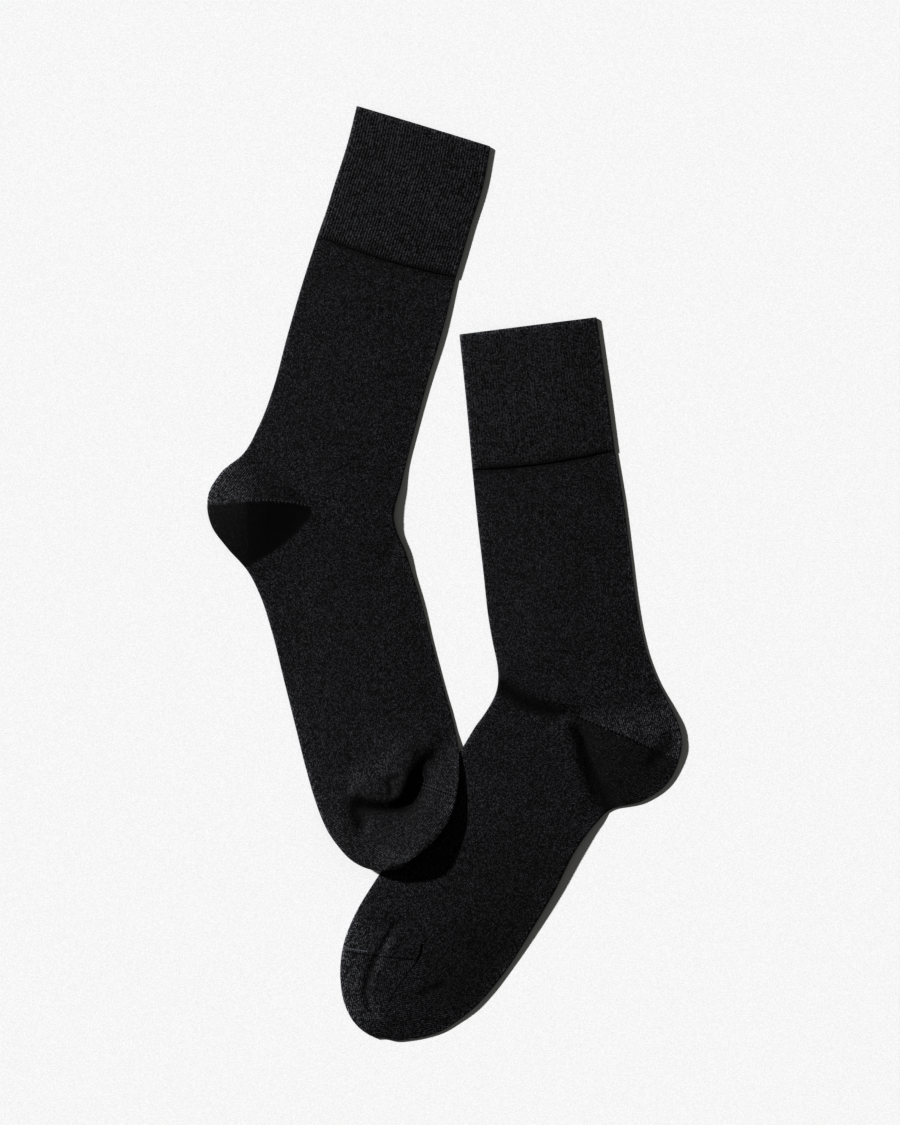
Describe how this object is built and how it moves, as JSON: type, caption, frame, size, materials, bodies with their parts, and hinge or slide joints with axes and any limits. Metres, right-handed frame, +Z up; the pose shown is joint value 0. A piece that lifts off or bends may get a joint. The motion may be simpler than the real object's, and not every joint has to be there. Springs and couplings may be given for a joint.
{
  "type": "pair of socks",
  "caption": "Pair of plain mid-calf dress socks lying flat, the toe of one resting on the foot of the other, with ribbed turned cuffs, heel pouches and closed toes.",
  "frame": {"origin": "on the surface under the middle of the pair's bounding box", "axes": "+Y from the toe of the lower sock towards the cuff of the upper one, +X towards the heel of the lower sock, +Z up off the surface"},
  "size_m": [0.2751, 0.5417, 0.0105],
  "materials": {
    "cuff_rib": "fine rib knit, matt, near black",
    "plain_knit": "fine plain knit in smooth cotton, matt with a low sheen, near black",
    "heel_toe_knit": "denser plain knit of the heel and toe pouches, matt, near black"
  },
  "bodies": {
    "root": {"over_sock_cuff": "cuff_rib", "over_sock_leg_foot": "plain_knit", "over_sock_heel": "heel_toe_knit", "over_sock_toe": "heel_toe_knit", "under_sock_cuff": "cuff_rib", "under_sock_leg_foot": "plain_knit", "under_sock_heel": "heel_toe_knit", "under_sock_toe": "heel_toe_knit"}
  },
  "joints": []
}
